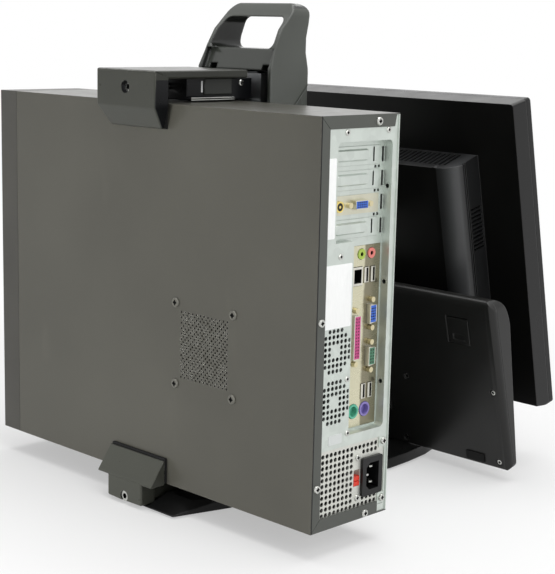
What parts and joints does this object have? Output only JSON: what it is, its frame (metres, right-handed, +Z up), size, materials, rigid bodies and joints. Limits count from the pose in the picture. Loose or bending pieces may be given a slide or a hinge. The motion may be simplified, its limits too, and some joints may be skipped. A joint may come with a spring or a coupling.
{
  "type": "desktop computer workstation on a carry stand",
  "caption": "Slim desktop computer clamped behind a carry-handle stand, with a flat monitor in front and a keyboard stowed between them.",
  "frame": {"origin": "on the floor, under the middle of the stand's column, on the underside of the centre rubber pad", "axes": "+X to the computer's front bezel, +Y from the screen to the computer's outer side, +Z up"},
  "size_m": [0.445, 0.4203, 0.466],
  "materials": {
    "stand_plastic": "fine-grained black plastic",
    "handle_plastic": "satin dark grey plastic",
    "rubber": "matt black rubber",
    "aluminium": "plain extrusion",
    "jaw_paint": "satin dark grey paint",
    "steel": "plated steel",
    "head_paint": "black powder coat",
    "monitor_plastic": "fine-grained black plastic",
    "screen": "anti-glare film",
    "boards": "circuit board",
    "case_paint": "satin dark grey paint",
    "zinc_sheet": "zinc-plated sheet",
    "bezel_plastic": "fine-grained dark plastic",
    "button_plastic": "silver plastic",
    "port_plastic": "moulded plastic with plated shells",
    "red_plastic": "red moulded plastic",
    "fan_plastic": "black moulded plastic",
    "keyboard_plastic": "fine-grained black plastic",
    "key_plastic": "black keycaps"
  },
  "bodies": {
    "stand": {"foot_plate": "stand_plastic", "rubber_pads": "rubber", "column_spine": "aluminium", "column_rear_shell": "stand_plastic", "column_front_shell": "stand_plastic", "carry_handle": "handle_plastic", "pc_backrest": "stand_plastic", "keyboard_cradle": "stand_plastic", "pc_chassis": "zinc_sheet", "pc_rear_panel": "zinc_sheet", "pc_cover": "case_paint", "pc_front_bezel": "bezel_plastic", "pc_screws": "steel", "slot_covers": "zinc_sheet", "expansion_card": "boards", "port_shield": "zinc_sheet", "motherboard": "boards", "d_shaped_ports": "port_plastic", "usb_network_ports": "port_plastic", "round_ports": "port_plastic", "psu_case": "zinc_sheet", "psu_inlet": "port_plastic", "fan_frames": "fan_plastic", "cpu_heatsink": "aluminium", "air_duct": "bezel_plastic", "hard_drive": "zinc_sheet", "optical_drive": "zinc_sheet"},
    "top_arm": {"top_arm": "jaw_paint"},
    "top_jaw": {"top_jaw": "jaw_paint", "top_jaw_pad": "rubber", "top_clamp_screw": "steel"},
    "bottom_jaw": {"bottom_jaw": "jaw_paint", "bottom_jaw_pad": "rubber", "bottom_clamp_screw": "steel"},
    "lift": {"lift_carriage": "head_paint", "lift_spring": "steel"},
    "monitor": {"tilt_head": "head_paint", "plate_screws": "steel", "monitor_back_cover": "monitor_plastic", "monitor_front_bezel": "monitor_plastic", "display_panel": "screen", "monitor_boards": "boards"},
    "keyboard": {"keyboard_bottom_case": "keyboard_plastic", "keyboard_top_case": "keyboard_plastic", "keycaps": "key_plastic", "keyboard_rubber_feet": "rubber", "keyboard_screws": "steel"},
    "monitor_power_button": {"monitor_power_button": "monitor_plastic"},
    "monitor_menu_button": {"monitor_menu_button": "monitor_plastic"},
    "space_bar": {"space_bar": "key_plastic"},
    "left_flip_foot": {"left_flip_foot": "keyboard_plastic"},
    "right_flip_foot": {"right_flip_foot": "keyboard_plastic"},
    "disc_tray": {"disc_tray": "bezel_plastic"},
    "eject_button": {"eject_button": "bezel_plastic"},
    "power_button": {"power_button": "button_plastic"},
    "voltage_selector": {"voltage_selector": "red_plastic"},
    "psu_fan": {"psu_fan": "fan_plastic"},
    "upper_rear_fan": {"upper_rear_fan": "fan_plastic"},
    "lower_rear_fan": {"lower_rear_fan": "fan_plastic"},
    "cpu_fan": {"cpu_fan": "fan_plastic"}
  },
  "joints": [
    {"name": "top_arm_height", "type": "slide", "parent": "stand", "child": "top_arm", "axis": [0, 0, 1], "range_m": [0, 0.006]},
    {"name": "top_jaw_reach", "type": "slide", "parent": "top_arm", "child": "top_jaw", "axis": [0, 1, 0], "range_m": [0, 0.045]},
    {"name": "bottom_jaw_reach", "type": "slide", "parent": "stand", "child": "bottom_jaw", "axis": [0, 1, 0], "range_m": [0, 0.04]},
    {"name": "monitor_lift", "type": "slide", "parent": "stand", "child": "lift", "axis": [0, 0, 1], "range_m": [0, 0.095]},
    {"name": "monitor_tilt", "type": "hinge", "parent": "lift", "child": "monitor", "pos_m": [0, -0.12, 0.252], "axis": [-1, 0, 0], "range_deg": [-5, 15]},
    {"name": "monitor_power_press", "type": "slide", "parent": "monitor", "child": "monitor_power_button", "axis": [0, 0.9759, -0.2181], "range_m": [0, 0.0015], "stiffness_N_per_m": 400, "springref_m": -0.001},
    {"name": "monitor_menu_press", "type": "slide", "parent": "monitor", "child": "monitor_menu_button", "axis": [0, 0.9759, -0.2181], "range_m": [0, 0.0015], "stiffness_N_per_m": 400, "springref_m": -0.001},
    {"name": "keyboard_slide", "type": "slide", "parent": "stand", "child": "keyboard", "axis": [1, 0, 0], "range_m": [-0.3, 0.3]},
    {"name": "space_press", "type": "slide", "parent": "keyboard", "child": "space_bar", "axis": [0, 0.9871, -0.1602], "range_m": [0, 0.003], "stiffness_N_per_m": 300, "springref_m": -0.001},
    {"name": "left_foot_flip", "type": "hinge", "parent": "keyboard", "child": "left_flip_foot", "pos_m": [0.162, -0.1302, 0.16551], "axis": [1, 0, 0], "range_deg": [0, 80]},
    {"name": "right_foot_flip", "type": "hinge", "parent": "keyboard", "child": "right_flip_foot", "pos_m": [-0.162, -0.1302, 0.16551], "axis": [1, 0, 0], "range_deg": [0, 80]},
    {"name": "power_press", "type": "slide", "parent": "stand", "child": "power_button", "axis": [-1, 0, 0], "range_m": [0, 0.0015], "stiffness_N_per_m": 400, "springref_m": -0.001},
    {"name": "tray_out", "type": "slide", "parent": "stand", "child": "disc_tray", "axis": [1, 0, 0], "range_m": [0, 0.13]},
    {"name": "eject_press", "type": "slide", "parent": "stand", "child": "eject_button", "axis": [-1, 0, 0], "range_m": [0, 0.0015], "stiffness_N_per_m": 400, "springref_m": -0.001},
    {"name": "selector_slide", "type": "slide", "parent": "stand", "child": "voltage_selector", "axis": [0, 0, 1], "range_m": [0, 0.0055]},
    {"name": "psu_fan_spin", "type": "hinge", "parent": "stand", "child": "psu_fan", "pos_m": [-0.2, 0.104, 0.0635], "axis": [1, 0, 0], "continuous": true},
    {"name": "upper_rear_fan_spin", "type": "hinge", "parent": "stand", "child": "upper_rear_fan", "pos_m": [-0.21, 0.1122, 0.1795], "axis": [1, 0, 0], "continuous": true},
    {"name": "lower_rear_fan_spin", "type": "hinge", "parent": "stand", "child": "lower_rear_fan", "pos_m": [-0.21, 0.1122, 0.1354], "axis": [1, 0, 0], "continuous": true},
    {"name": "cpu_fan_spin", "type": "hinge", "parent": "stand", "child": "cpu_fan", "pos_m": [-0.086, 0.09, 0.1605], "axis": [0, 1, 0], "continuous": true}
  ]
}
